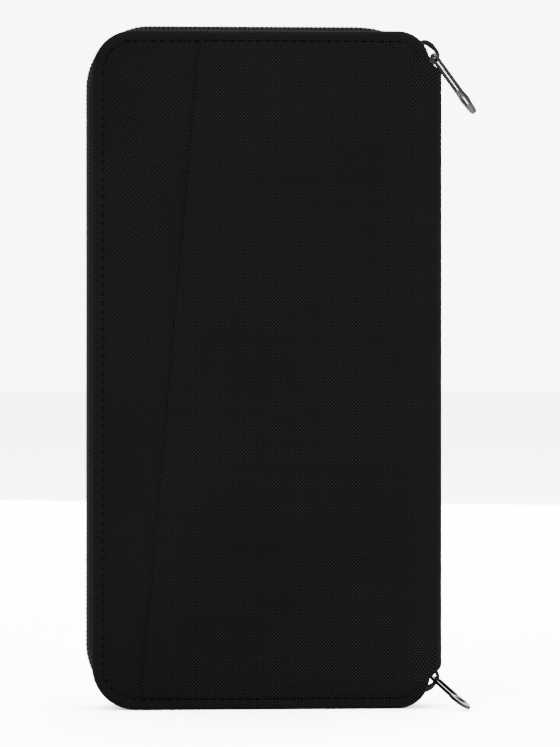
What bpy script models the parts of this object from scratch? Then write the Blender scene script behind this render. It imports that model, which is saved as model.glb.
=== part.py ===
"""Zip-round passport wallet standing on its short edge, modelled as its separate pieces.

Two padded covers are joined by a cloth spine, and a two-slider zip runs round the other three sides.
The frame: +Z up the long side, +X from the fore-edge to the spine, -Y out of the front cover.
The origin is the middle of the rear cover's bottom edge.
"""

import bpy
import bmesh
from math import cos, sin, pi, radians
from mathutils import Matrix, Vector

MM = 0.001

# Overall sizes of a cover and of the gap that the zip closes.
COVER_WIDTH = 123.4 * MM
COVER_HEIGHT = 247.4 * MM
COVER_THICK = 6.2 * MM
COVER_GAP = 11.6 * MM
FORE_RADIUS_TOP = 15.4 * MM
FORE_RADIUS_BOTTOM = 16.0 * MM
SPINE_RADIUS = 11.7 * MM

# Layers of a cover, and the clearance that neighbouring pieces keep.
CLEAR = 0.3 * MM
CLOTH = 0.9 * MM
SLASH_CLOTH = 0.8 * MM
BOARD = 1.2 * MM
LINING = 0.5 * MM

# The slanted pocket mouth, measured from the fore-edge at the top and at the bottom of the cover.
SLASH_TOP = 39.5 * MM
SLASH_BOTTOM = 17.5 * MM

# The cloth spine: how far it stands past the covers and how far short of their ends it stops.
SPINE_DEPTH = 4.3 * MM
SPINE_END = 15.0 * MM
SPINE_STIFFENER_END = 21.0 * MM
SPINE_BOARD = 1.2 * MM

# The zip: its two coil rows, its tape and the path that the chain follows round the covers.
COIL_INNER = 0.7 * MM
COIL_OUTER = 3.0 * MM
COIL_THICK = 2.0 * MM
TAPE = 0.6 * MM
TAPE_SEWN = 8.0 * MM
CHAIN_PROUD = 1.0 * MM
CHAIN_BOTTOM = 1.5 * MM
CHAIN_FORE_RADIUS = 22.0 * MM
CHAIN_SPINE_RADIUS = 35.0 * MM
CHAIN_SPINE_REACH = 8.3 * MM
STOP_ANGLE = 35.8
STOP_LENGTH = 1.0 * MM
STOP_HALF_HEIGHT = 1.2 * MM
STOP_GAP_ANGLE = 0.5
PARK_ANGLE = 45.0
ROW_CLEAR = 0.4 * MM

# Sliders: straight bodies whose channel has room for the bend of the chain.
SLIDER_LENGTH = 9.6 * MM
SLIDER_WIDTH = 8.6 * MM
SLIDER_PLATE = 0.85 * MM
SLIDER_CHANNEL_OUT = 1.15 * MM
SLIDER_CHANNEL_IN = 1.65 * MM
SLIDER_LIP = 0.5 * MM
SLIDER_POST = 0.35 * MM
SLIDER_POST_START = 0.5 * MM
SLIDER_POST_INSET = 0.6 * MM
SLIDER_LIP_START = 0.2 * MM
SLIDER_LIP_INSET = 1.1 * MM
SLIDER_LIP_EDGE = 0.05 * MM
SLIDER_NOSE_SHARE = 0.34
SLIDER_TIP_SHARE = 0.8
SLIDER_SHOULDER_SHARE = 0.12
SLIDER_NOSE_CUT = 1.2 * MM
SLIDER_TAIL_CUT = 1.0 * MM
BRIDGE_WIDTH = 1.3 * MM
BRIDGE_THICK = 1.5 * MM
BRIDGE_TOP = 6.3 * MM
BRIDGE_LENGTH = 10.0 * MM
BRIDGE_RADIUS = 2.2 * MM

# Pull tabs: a slotted stem that ends in a wider slotted tab.
PULL_LENGTH = 27.0 * MM
PULL_STEM = 17.5 * MM
PULL_STEM_WIDTH = 5.2 * MM
PULL_RAIL = 1.0 * MM
PULL_TAB_WIDTH = 6.6 * MM
PULL_THICK = 1.2 * MM
UPPER_PULL_ANGLE = -54.0
UPPER_PULL_TWIST = 15.0
LOWER_PULL_ANGLE = -42.0
LOWER_PULL_LEAN = 60.5
LOWER_PULL_TWIST = 18.0
UPPER_EYE_BACK = 1.9 * MM
UPPER_EYE_ROOM = 0.4 * MM
LOWER_EYE_BACK = 2.2 * MM
PULL_FLARE = 3.0 * MM
PULL_NECK = 1.2 * MM
PULL_NECK_SWELL = 0.35 * MM
PULL_NECK_LEAD = 0.5 * MM
PULL_TAB_SLOT = 2.2 * MM
PULL_TIP_SHARE = 0.8
PULL_TIP_HALF_ANGLE = 62

# Pockets inside: cloth 0.45 mm thick, kept clear of the zip tape.
POCKET_CLOTH = 0.45 * MM
POCKET_INSET = 11.2 * MM
POCKET_SPINE_INSET = 6.2 * MM
POCKET_CORNER = 14.0 * MM
POCKET_TOP_INSET = 25.4 * MM
SLEEVE_SPLIT = 118.0 * MM
SLEEVE_GAP = 8.0 * MM
SLEEVE_TOP_INSET = 31.4 * MM
CARD_TIERS = 4
CARD_STEP = 14.0 * MM
CARD_BOTTOM = 118.0 * MM

# Zipped coin pocket on the lower half of the front lining.
COIN_ZIP_HEIGHT = 100.0 * MM
COIN_TAPE = 6.4 * MM
COIN_SPLIT = 0.6 * MM
COIN_ROOM = 0.9 * MM
COIN_COIL_WIDTH = 1.4 * MM
COIN_COIL_THICK = 0.9 * MM
COIN_SLIDER_LENGTH = 7.0 * MM
COIN_SLIDER_WIDTH = 6.0 * MM
COIN_SLIDER_PLATE = 0.5 * MM
COIN_KEEL = 0.3 * MM
COIN_BRIDGE_WIDTH = 1.2 * MM
COIN_BRIDGE_THICK = 0.45 * MM
COIN_BRIDGE_ROOM = 1.0 * MM
COIN_SLIDER_PARK = 9.0 * MM
CORD_RADIUS = 0.3 * MM
CORD_DROP = 15.0 * MM
CORD_BEAD = 1.0 * MM
CORD_BEAD_ABOVE = 1.5 * MM
CORD_BEAD_BELOW = 2.5 * MM
CORD_ROOM = 0.25 * MM
CORD_PINCH = 0.1 * MM
CORD_TURN = 2.2 * MM
CORD_JOIN = 5.0 * MM
COIN_BRIDGE_INSET = 0.5 * MM
COIN_BRIDGE_RADIUS = 0.9 * MM
COIN_POST_INSET = 0.5 * MM

# Places that follow from the sizes.
LEFT = -COVER_WIDTH / 2
RIGHT = COVER_WIDTH / 2
MID_Y = -(COVER_THICK + COVER_GAP) / 2
REAR_FACE = COVER_THICK / 2
FRONT_FACE = 2 * MID_Y - REAR_FACE
INNER_FACE = COVER_GAP / 2
SPINE_X = RIGHT + SPINE_DEPTH
CHAIN_TOP = COVER_HEIGHT + CHAIN_PROUD
POCKET_TOP = COVER_HEIGHT - POCKET_TOP_INSET
SLEEVE_TOP = COVER_HEIGHT - SLEEVE_TOP_INSET
CHAIN_LEFT = LEFT - CHAIN_PROUD
ARC_X = RIGHT + CHAIN_SPINE_REACH - CHAIN_SPINE_RADIUS
UPPER_ARC_Z = CHAIN_TOP - CHAIN_SPINE_RADIUS
LOWER_ARC_Z = CHAIN_BOTTOM + CHAIN_SPINE_RADIUS
SLIDER_HALF_ANGLE = SLIDER_LENGTH / 2 / CHAIN_SPINE_RADIUS * 180 / pi

BLACK_CLOTH = (0.012, 0.012, 0.013)
DARK_CLOTH = (0.02, 0.02, 0.021)
GUNMETAL = (0.22, 0.22, 0.23)
COIL_COLOUR = (0.02, 0.018, 0.016)
COIL_ROUGHNESS = 0.35


# --- scene and material helpers -------------------------------------------------------------

def clear_scene():
    for obj in list(bpy.data.objects):
        bpy.data.objects.remove(obj, do_unlink=True)


def make_collection(name):
    collection = bpy.data.collections.new(name)
    bpy.context.scene.collection.children.link(collection)
    return collection


def paint(obj, colour, roughness, metallic=0.0):
    """Give the piece its own Principled material."""
    material = bpy.data.materials.new(obj.name)
    material.use_nodes = True
    shader = material.node_tree.nodes["Principled BSDF"]
    shader.inputs["Base Color"].default_value = (*colour, 1.0)
    shader.inputs["Roughness"].default_value = roughness
    shader.inputs["Metallic"].default_value = metallic
    obj.data.materials.clear()
    obj.data.materials.append(material)
    return obj


def cloth(obj):
    return paint(obj, BLACK_CLOTH, 0.85)


def lining_cloth(obj):
    return paint(obj, DARK_CLOTH, 0.7)


def metal(obj):
    return paint(obj, GUNMETAL, 0.25, 1.0)


# --- outlines in the plane of a cover -------------------------------------------------------

def arc(centre, radius, start, end, steps):
    """Points on a circle, from the start angle to the end angle in degrees."""
    points = []
    for i in range(steps + 1):
        angle = radians(start + (end - start) * i / steps)
        points.append((centre[0] + radius * cos(angle), centre[1] + radius * sin(angle)))
    return points


def rounded(left, right, low, high, corners, steps=8):
    """A rectangle with its own radius on each corner: top right, top left, bottom left, bottom right."""
    top_right, top_left, bottom_left, bottom_right = corners
    points = []
    for x, z, radius, start in ((right - top_right, high - top_right, top_right, 0),
                                (left + top_left, high - top_left, top_left, 90),
                                (left + bottom_left, low + bottom_left, bottom_left, 180),
                                (right - bottom_right, low + bottom_right, bottom_right, 270)):
        if radius > 0:
            points += arc((x, z), radius, start, start + 90, steps)
        else:
            points.append((x, z))
    return points


def cover_outline(inset=0.0):
    """The outline of a cover, or of a layer that stops short of its edge."""
    return rounded(LEFT + inset, RIGHT - inset, inset, COVER_HEIGHT - inset,
                   (SPINE_RADIUS - inset, FORE_RADIUS_TOP - inset,
                    FORE_RADIUS_BOTTOM - inset, SPINE_RADIUS - inset))


def slash_x(height):
    """How far across the cover the slanted pocket mouth lies at a height."""
    return LEFT + SLASH_BOTTOM + (SLASH_TOP - SLASH_BOTTOM) * height / COVER_HEIGHT


def slash_outline():
    """The main front panel: right of the slanted mouth, with the tongue that turns on to the spine."""
    top = [(slash_x(COVER_HEIGHT), COVER_HEIGHT)]
    bottom = [(slash_x(0.0), 0.0)]
    lower = arc((RIGHT - SPINE_RADIUS, SPINE_RADIUS), SPINE_RADIUS, 270, 360, 8)
    upper = arc((RIGHT - SPINE_RADIUS, COVER_HEIGHT - SPINE_RADIUS), SPINE_RADIUS, 0, 90, 8)
    tongue = [(RIGHT, SPINE_END), (SPINE_X, SPINE_END),
              (SPINE_X, COVER_HEIGHT - SPINE_END), (RIGHT, COVER_HEIGHT - SPINE_END)]
    return bottom + lower + tongue + upper + top


def chain_path(first=STOP_ANGLE, last=STOP_ANGLE):
    """The centre line of the zip from the upper stop, along the top, the fore-edge and the bottom.

    first and last are the angles, above and below level, at which the path starts and ends on the
    arcs beside the spine.
    """
    fore = CHAIN_FORE_RADIUS
    path = arc((ARC_X, UPPER_ARC_Z), CHAIN_SPINE_RADIUS, first, 90, 8)
    path += arc((CHAIN_LEFT + fore, CHAIN_TOP - fore), fore, 90, 180, 10)
    path += arc((CHAIN_LEFT + fore, CHAIN_BOTTOM + fore), fore, 180, 270, 10)
    path += arc((ARC_X, LOWER_ARC_Z), CHAIN_SPINE_RADIUS, 270, 360 - last, 8)
    return path


# --- solids ---------------------------------------------------------------------------------

def solid_from_curve(name, curve_obj, collection):
    """Turn a curve object into a closed mesh object in the same place."""
    bpy.context.view_layer.update()
    graph = bpy.context.evaluated_depsgraph_get()
    mesh = bpy.data.meshes.new_from_object(curve_obj.evaluated_get(graph))
    mesh.name = name
    shape = bmesh.new()
    shape.from_mesh(mesh)
    bmesh.ops.remove_doubles(shape, verts=shape.verts, dist=0.00001)
    bmesh.ops.recalc_face_normals(shape, faces=shape.faces)
    shape.to_mesh(mesh)
    shape.free()
    obj = bpy.data.objects.new(name, mesh)
    obj.matrix_world = curve_obj.matrix_world.copy()
    collection.objects.link(obj)
    bpy.data.objects.remove(curve_obj, do_unlink=True)
    return obj


def outline_curve(name, outlines, thick, collection):
    """A flat filled curve with an outer outline and any holes, as thick as asked."""
    curve = bpy.data.curves.new(name, 'CURVE')
    curve.dimensions = '2D'
    curve.fill_mode = 'BOTH'
    curve.extrude = thick / 2
    for outline in outlines:
        spline = curve.splines.new('POLY')
        spline.points.add(len(outline) - 1)
        for point, (x, y) in zip(spline.points, outline):
            point.co = (x, y, 0.0, 1.0)
        spline.use_cyclic_u = True
    obj = bpy.data.objects.new(name, curve)
    collection.objects.link(obj)
    return obj


def panel(name, outline, near_y, far_y, collection, holes=()):
    """A flat piece in the plane of the covers that fills from near_y to far_y."""
    obj = outline_curve(name + "_curve", [outline, *holes], abs(far_y - near_y), collection)
    obj.rotation_euler = (pi / 2, 0.0, 0.0)
    obj.location = (0.0, (near_y + far_y) / 2, 0.0)
    return solid_from_curve(name, obj, collection)


def box(name, low, high, collection):
    """A box between two corners."""
    mesh = bpy.data.meshes.new(name)
    shape = bmesh.new()
    bmesh.ops.create_cube(shape, size=1.0)
    size = [high[i] - low[i] for i in range(3)]
    bmesh.ops.scale(shape, vec=size, verts=shape.verts)
    shape.to_mesh(mesh)
    shape.free()
    obj = bpy.data.objects.new(name, mesh)
    obj.location = [(high[i] + low[i]) / 2 for i in range(3)]
    collection.objects.link(obj)
    return obj


def swept(name, path, profile, side, collection, guides):
    """A profile of (outward, sideways) points carried along the zip's path.

    side is +1 for the rear cover's row and -1 for the front cover's.
    """
    guide = outline_curve(name + "_profile", [[(u, -side * v) for u, v in profile]], 0.0, guides)
    guide.data.fill_mode = 'NONE'
    guide.hide_render = True
    guide.display_type = 'WIRE'
    curve = bpy.data.curves.new(name, 'CURVE')
    curve.dimensions = '2D'
    curve.bevel_mode = 'OBJECT'
    curve.bevel_object = guide
    curve.use_fill_caps = True
    spline = curve.splines.new('POLY')
    spline.points.add(len(path) - 1)
    for point, (x, z) in zip(spline.points, path):
        point.co = (x, z, 0.0, 1.0)
    obj = bpy.data.objects.new(name + "_curve", curve)
    obj.rotation_euler = (pi / 2, 0.0, 0.0)
    obj.location = (0.0, MID_Y, 0.0)
    collection.objects.link(obj)
    return solid_from_curve(name, obj, collection)


def boolean(obj, other, operation, cutters):
    """Cut with or join another solid, which then only serves as the cutter."""
    modifier = obj.modifiers.new(operation.title(), 'BOOLEAN')
    modifier.operation = operation
    modifier.solver = 'EXACT'
    modifier.object = other
    for collection in list(other.users_collection):
        collection.objects.unlink(other)
    cutters.objects.link(other)
    other.hide_render = True
    other.display_type = 'WIRE'
    return obj


def depth(cover, distance):
    """The Y of a layer that lies some distance in from a cover's outer face."""
    return REAR_FACE - distance if cover == "rear" else FRONT_FACE + distance


def across(cover, distance):
    """The Y of a layer that lies some distance from the middle plane towards a cover."""
    return MID_Y + distance if cover == "rear" else MID_Y - distance


# --- covers ---------------------------------------------------------------------------------

def tray(name, cover, start, tongue, collection, cutters):
    """The outer cloth of a cover with its edge turned in: a shallow tray open towards the lining."""
    obj = panel(name, cover_outline(), depth(cover, start), depth(cover, COVER_THICK), collection)
    hollow = panel(name + "_hollow", cover_outline(CLOTH), depth(cover, start + CLOTH),
                   depth(cover, COVER_THICK + 1 * MM), collection)
    boolean(obj, hollow, 'DIFFERENCE', cutters)
    if tongue:
        strip_low = (RIGHT - CLOTH / 2, min(depth(cover, start), depth(cover, start + CLOTH)), SPINE_END)
        strip_high = (SPINE_X, max(depth(cover, start), depth(cover, start + CLOTH)),
                      COVER_HEIGHT - SPINE_END)
        boolean(obj, box(name + "_tongue", strip_low, strip_high, collection), 'UNION', cutters)
    return cloth(obj)


def build_cover(cover, collection, cutters):
    """One cover: cloth, foam, board and lining, each kept clear of the next."""
    start = 0.0 if cover == "rear" else SLASH_CLOTH + CLEAR
    inset = CLOTH + CLEAR
    lining_top = COVER_THICK - LINING
    board_top = lining_top - CLEAR - BOARD
    foam_top = board_top - CLEAR
    name = "rear_outer_panel" if cover == "rear" else "front_base_panel"
    tray(name, cover, start, cover == "rear", collection, cutters)
    foam = panel(cover + "_foam", cover_outline(inset), depth(cover, start + CLOTH + CLEAR),
                 depth(cover, foam_top), collection)
    paint(foam, (0.1, 0.1, 0.1), 0.9)
    board = panel(cover + "_board", cover_outline(inset), depth(cover, board_top),
                  depth(cover, board_top + BOARD), collection)
    paint(board, (0.25, 0.22, 0.18), 0.8)
    lining = panel(cover + "_lining", cover_outline(inset), depth(cover, lining_top),
                   depth(cover, COVER_THICK), collection)
    lining_cloth(lining)


def build_slash_panel(collection):
    """The main front panel, which overlaps the base panel and leaves a slip pocket behind it."""
    cloth(panel("front_slash_panel", slash_outline(), FRONT_FACE, FRONT_FACE + SLASH_CLOTH, collection))


def build_spine(collection):
    """The cloth strip that joins the covers, with its stiffener and its lining."""
    outer = SPINE_X - CLOTH
    board = outer - CLEAR - SPINE_BOARD
    lining = board - CLEAR - LINING
    low_y = FRONT_FACE + CLOTH + CLEAR
    high_y = REAR_FACE - CLOTH - CLEAR
    cloth(box("spine_outer", (outer, low_y, SPINE_END),
              (SPINE_X, high_y, COVER_HEIGHT - SPINE_END), collection))
    low_end = SPINE_STIFFENER_END
    high_end = COVER_HEIGHT - SPINE_STIFFENER_END
    paint(box("spine_board", (board, low_y, low_end), (board + SPINE_BOARD, high_y, high_end),
              collection), (0.25, 0.22, 0.18), 0.8)
    lining_cloth(box("spine_lining", (lining, low_y, low_end), (lining + LINING, high_y, high_end),
                     collection))


# --- the zip --------------------------------------------------------------------------------

def coil_profile():
    half = COIL_THICK / 2
    return [(-half, COIL_INNER), (half, COIL_INNER), (half, COIL_OUTER), (-half, COIL_OUTER)]


def tape_profile():
    """The tape leans from the coil down to the lining and lies flat where it is sewn."""
    flat_top = INNER_FACE - CLEAR
    flat_low = flat_top - TAPE
    near = COIL_OUTER + CLEAR
    half = TAPE / 2
    foot = CHAIN_PROUD + CLEAR
    return [(half, near), (half - foot, flat_top), (-foot - TAPE_SEWN, flat_top),
            (-foot - TAPE_SEWN, flat_low), (-foot, flat_low), (-half, near)]


def row_end_profile():
    """A coil row with the narrow edge of tape that passes out of the slider's side."""
    half = COIL_THICK / 2
    web = TAPE / 2
    edge = COIL_OUTER + CLEAR
    return [(-half, COIL_INNER), (half, COIL_INNER), (half, COIL_OUTER), (web, COIL_OUTER),
            (web, edge), (-web, edge), (-web, COIL_OUTER), (-half, COIL_OUTER)]


def build_zip(collection, guides):
    """Both rows. Beside the spine their last few turns stay with the sliders and the spine."""
    row_start = STOP_ANGLE + STOP_LENGTH / CHAIN_SPINE_RADIUS * 180 / pi
    row_cut = PARK_ANGLE + SLIDER_HALF_ANGLE + ROW_CLEAR / CHAIN_SPINE_RADIUS * 180 / pi
    row_stop = row_cut - ROW_CLEAR / CHAIN_SPINE_RADIUS * 180 / pi
    sewn = chain_path(row_cut, row_cut)
    for cover, side in (("rear", 1), ("front", -1)):
        coil = swept(cover + "_zip_coil", sewn, coil_profile(), side, collection, guides)
        paint(coil, COIL_COLOUR, COIL_ROUGHNESS)
        tape = swept(cover + "_zip_tape", sewn, tape_profile(), side, collection, guides)
        cloth(tape)
        for end, centre, sign in (("upper", UPPER_ARC_Z, 1), ("lower", LOWER_ARC_Z, -1)):
            angles = (row_start, row_stop) if sign > 0 else (-row_stop, -row_start)
            path = arc((ARC_X, centre), CHAIN_SPINE_RADIUS, angles[0], angles[1], 4)
            name = cover + "_row_end_" + end
            row = swept(name, path, row_end_profile(), side, collection, guides)
            paint(row, COIL_COLOUR, COIL_ROUGHNESS)


def arc_frame(name, end, angle, collection):
    """An empty at the centre of the arc that a slider runs on.

    Its Z points outwards through the slider and its X towards the chain ahead of the slider.
    """
    sign = 1 if end == "upper" else -1
    centre = UPPER_ARC_Z if end == "upper" else LOWER_ARC_Z
    angle = radians(angle)
    outward = Vector((cos(angle), 0.0, sign * sin(angle)))
    ahead = Vector((-sin(angle), 0.0, sign * cos(angle)))
    sideways = outward.cross(ahead)
    basis = Matrix((ahead, sideways, outward)).transposed().to_4x4()
    empty = bpy.data.objects.new(name, None)
    empty.matrix_world = Matrix.Translation((ARC_X, MID_Y, centre)) @ basis
    collection.objects.link(empty)
    return empty


def attach(obj, parent):
    """Place a piece that was modelled in its parent's own frame."""
    obj.parent = parent
    obj.matrix_parent_inverse = Matrix.Identity(4)
    return obj


def plate(name, outline, low, high, collection):
    """A flat piece in the local XY plane that fills from low to high."""
    obj = outline_curve(name + "_curve", [outline], high - low, collection)
    obj.location = (0.0, 0.0, (low + high) / 2)
    return solid_from_curve(name, obj, collection)


def slider_outline(length, width):
    """A slider plate: two shoulders ahead and a narrower square tail."""
    nose = width * SLIDER_NOSE_SHARE
    tip = nose * SLIDER_TIP_SHARE
    shoulder = width / 2
    end = length / 2
    back = -length * SLIDER_SHOULDER_SHARE
    half = [(-end, tip), (-end + SLIDER_NOSE_CUT, nose), (back, shoulder),
            (end - SLIDER_TAIL_CUT, shoulder), (end, shoulder - SLIDER_TAIL_CUT)]
    return [(x, -y) for x, y in half] + half[::-1]


def build_stop(end, collection):
    """The metal clip that closes the zip's end beside the spine."""
    half_angle = STOP_LENGTH / 2 / CHAIN_SPINE_RADIUS * 180 / pi
    frame = arc_frame(end + "_stop_frame", end, STOP_ANGLE + half_angle - STOP_GAP_ANGLE, collection)
    radius = CHAIN_SPINE_RADIUS
    reach = COIL_OUTER
    stop = box("zip_stop_" + end, (-STOP_LENGTH / 2, -reach, radius - STOP_HALF_HEIGHT),
               (STOP_LENGTH / 2, reach, radius + STOP_HALF_HEIGHT), collection)
    metal(attach(stop, frame))


def build_slider(end, collection, cutters):
    """A slider body: two plates joined by the post that parts the rows, with lips beside the coils."""
    frame = arc_frame(end + "_slider_axis", end, PARK_ANGLE, collection)
    radius = CHAIN_SPINE_RADIUS
    outline = slider_outline(SLIDER_LENGTH, SLIDER_WIDTH)
    out_low = radius + SLIDER_CHANNEL_OUT
    in_high = radius - SLIDER_CHANNEL_IN
    body = plate(end + "_slider_body", outline, out_low, out_low + SLIDER_PLATE, collection)
    inner = plate(end + "_slider_keel", outline, in_high - SLIDER_PLATE, in_high, collection)
    post = box(end + "_slider_post",
               (SLIDER_POST_START, -SLIDER_POST, in_high - SLIDER_PLATE / 2),
               (SLIDER_LENGTH / 2 - SLIDER_POST_INSET, SLIDER_POST, out_low + SLIDER_PLATE / 2), collection)
    for piece in (body, inner, post):
        attach(piece, frame)
    boolean(body, post, 'UNION', cutters)
    boolean(body, inner, 'UNION', cutters)
    for side in (-1, 1):
        edge = sorted((side * (SLIDER_WIDTH / 2 - SLIDER_LIP_EDGE), side * (COIL_OUTER + CLEAR)))
        lip = box(end + "_slider_lip_" + ("left" if side < 0 else "right"),
                  (SLIDER_LIP_START, edge[0], out_low - SLIDER_LIP),
                  (SLIDER_LENGTH / 2 - SLIDER_LIP_INSET, edge[1], out_low + SLIDER_PLATE / 2), collection)
        attach(lip, frame)
        boolean(body, lip, 'UNION', cutters)
    metal(body)
    return frame


def bridge_outline(length, low, high, thick, radius):
    """An arch in the local XZ plane, with round shoulders outside and inside."""
    outer = arc((length / 2 - radius, high - radius), radius, 0, 90, 5)
    outer += arc((-length / 2 + radius, high - radius), radius, 90, 180, 5)
    hollow = radius - thick
    inner = arc((-length / 2 + radius, high - radius), hollow, 180, 90, 5)
    inner += arc((length / 2 - radius, high - radius), hollow, 90, 0, 5)
    return ([(length / 2, low)] + outer + [(-length / 2, low), (-length / 2 + thick, low)]
            + inner + [(length / 2 - thick, low)])


def build_bridge(end, frame, collection):
    """The arch on the slider's outer plate that the pull hangs from."""
    low = SLIDER_CHANNEL_OUT + SLIDER_PLATE + CLEAR
    outline = bridge_outline(BRIDGE_LENGTH, low, BRIDGE_TOP, BRIDGE_THICK, BRIDGE_RADIUS)
    curve = outline_curve(end + "_bridge_curve", [outline], BRIDGE_WIDTH, collection)
    curve.rotation_euler = (pi / 2, 0.0, 0.0)
    bridge = solid_from_curve(end + "_slider_bridge", curve, collection)
    bridge.location = (0.0, 0.0, CHAIN_SPINE_RADIUS)
    metal(attach(bridge, frame))


def pull_outlines():
    """The pull from its eye at X = 0 to its tip, with the long slot and the short one in the tab."""
    half = PULL_STEM_WIDTH / 2
    slot = half - PULL_RAIL
    tab = PULL_TAB_WIDTH / 2
    tip = PULL_LENGTH
    flare = PULL_STEM + PULL_FLARE
    neck = [(PULL_STEM - PULL_NECK_LEAD, half), (PULL_STEM + PULL_NECK, half + PULL_NECK_SWELL), (flare, tab)]
    end = tab * PULL_TIP_SHARE
    outer = arc((half, 0.0), half, 90, 270, 8)
    outer += [(x, -y) for x, y in neck]
    outer += arc((tip - end, 0.0), end, -PULL_TIP_HALF_ANGLE, PULL_TIP_HALF_ANGLE, 8)
    outer += neck[::-1]
    long_slot = arc((half, 0.0), slot, 90, 270, 8)
    long_slot += arc((PULL_STEM - slot, 0.0), slot, -90, 90, 8)
    start = PULL_STEM + PULL_RAIL + slot
    tab_slot = arc((start, 0.0), slot, 90, 270, 6)
    tab_slot += arc((start + PULL_TAB_SLOT, 0.0), slot, -90, 90, 6)
    return [outer, long_slot, tab_slot]


def pull_frame(name, origin, along, width, parent, collection):
    """An empty on a pull's joint: X along the pull, Y across it, Z square to its flat face."""
    along = along.normalized()
    normal = along.cross(width).normalized()
    width = normal.cross(along)
    basis = Matrix((along, width, normal)).transposed().to_4x4()
    empty = bpy.data.objects.new(name, None)
    collection.objects.link(empty)
    empty.parent = parent
    bpy.context.view_layer.update()
    empty.matrix_parent_inverse = parent.matrix_world.inverted()
    empty.matrix_basis = Matrix.Translation(origin) @ basis
    return empty


def build_pull(end, frame, collection):
    """The pull. The upper one hangs in its bridge, and the lower one leans out over its bridge."""
    bpy.context.view_layer.update()
    rest = frame.matrix_world
    if end == "upper":
        twist = radians(UPPER_PULL_TWIST)
        lift = UPPER_EYE_ROOM + PULL_THICK / 2 * cos(twist) + PULL_STEM_WIDTH / 2 * sin(twist)
        height = CHAIN_SPINE_RADIUS + SLIDER_CHANNEL_OUT + SLIDER_PLATE + lift
        origin = rest @ Vector((-UPPER_EYE_BACK, 0.0, height))
        angle = radians(UPPER_PULL_ANGLE)
        along = Vector((cos(angle), 0.0, sin(angle)))
        face = Vector((-sin(angle), 0.0, cos(angle)))
        width = Vector((0.0, 1.0, 0.0)) * cos(twist) - face * sin(twist)
        eye = PULL_RAIL / 2
    else:
        height = CHAIN_SPINE_RADIUS + BRIDGE_TOP - BRIDGE_THICK / 2
        origin = rest @ Vector((-LOWER_EYE_BACK, 0.0, height))
        angle = radians(LOWER_PULL_ANGLE)
        lean = radians(LOWER_PULL_LEAN)
        twist = radians(LOWER_PULL_TWIST)
        down = Vector((cos(angle), 0.0, sin(angle)))
        face = Vector((-sin(angle), 0.0, cos(angle)))
        along = down * cos(lean) + Vector((0.0, -sin(lean), 0.0))
        width = (down * sin(lean) + Vector((0.0, cos(lean), 0.0))) * cos(twist) + face * sin(twist)
        eye = PULL_STEM_WIDTH / 2
    hinge = pull_frame(end + "_pull_axis", origin, along, width, frame, collection)
    curve = outline_curve(end + "_pull_curve", pull_outlines(), PULL_THICK, collection)
    pull = solid_from_curve(end + "_pull", curve, collection)
    pull.location = (-eye, 0.0, 0.0)
    metal(attach(pull, hinge))


# --- pockets inside -------------------------------------------------------------------------

def pocket(name, cover, level, low, high, top_corners, bottom_corners, collection):
    """A flat pocket panel between the zip tapes. level counts cloth layers from the lining."""
    outer = INNER_FACE - CLEAR - level * (POCKET_CLOTH + CLEAR)
    left = LEFT + POCKET_INSET
    right = RIGHT - POCKET_SPINE_INSET
    corners = (POCKET_CORNER if top_corners else 0.0, POCKET_CORNER if top_corners else 0.0,
               POCKET_CORNER if bottom_corners else 0.0, POCKET_CORNER if bottom_corners else 0.0)
    outline = rounded(left, right, low, high, corners, 5)
    return lining_cloth(panel(name, outline, across(cover, outer), across(cover, outer - POCKET_CLOTH),
                              collection))


def build_pockets(collection):
    """Rear: a full-height document pocket under two passport sleeves. Front: stepped card slots."""
    bottom = POCKET_INSET + CHAIN_BOTTOM + CHAIN_PROUD
    pocket("document_pocket", "rear", 0, bottom, POCKET_TOP, False, True, collection)
    pocket("passport_sleeve_lower", "rear", 1, bottom, SLEEVE_SPLIT, False, True, collection)
    pocket("passport_sleeve_upper", "rear", 1, SLEEVE_SPLIT + SLEEVE_GAP, SLEEVE_TOP, False, False,
           collection)
    for tier in range(CARD_TIERS):
        pocket("card_slot_%d" % (tier + 1), "front", tier, CARD_BOTTOM, POCKET_TOP - tier * CARD_STEP,
               False, False, collection)


def build_coin_pocket(collection):
    """The coin pocket's cloth and the two halves of its short zip."""
    bottom = POCKET_INSET + CHAIN_BOTTOM + CHAIN_PROUD
    left = LEFT + POCKET_INSET
    right = RIGHT - POCKET_SPINE_INSET
    outer = across("front", INNER_FACE - COIN_ROOM)
    inner = outer + POCKET_CLOTH
    zip_z = COIN_ZIP_HEIGHT
    tape_low = zip_z - COIN_SPLIT - COIN_TAPE
    tape_high = zip_z + COIN_SPLIT + COIN_TAPE
    lower = rounded(left, right, bottom, tape_low - CLEAR, (0.0, 0.0, POCKET_CORNER, POCKET_CORNER), 5)
    lining_cloth(panel("coin_pocket_panel", lower, outer, inner, collection))
    lining_cloth(box("coin_pocket_header", (left, outer, tape_high + CLEAR),
                     (right, inner, CARD_BOTTOM - 2 * CLEAR), collection))
    coil_low = inner + CLEAR
    for half, sign in (("upper", 1), ("lower", -1)):
        edges = sorted((zip_z + sign * COIN_SPLIT, zip_z + sign * (COIN_SPLIT + COIN_TAPE)))
        cloth(box("coin_zip_tape_" + half, (left, outer, edges[0]), (right, inner, edges[1]), collection))
        edges = sorted((zip_z + sign * COIN_SPLIT, zip_z + sign * (COIN_SPLIT + COIN_COIL_WIDTH)))
        coil = box("coin_zip_coil_" + half, (left, coil_low, edges[0]),
                   (right, coil_low + COIN_COIL_THICK, edges[1]), collection)
        paint(coil, COIL_COLOUR, COIL_ROUGHNESS)


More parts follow.
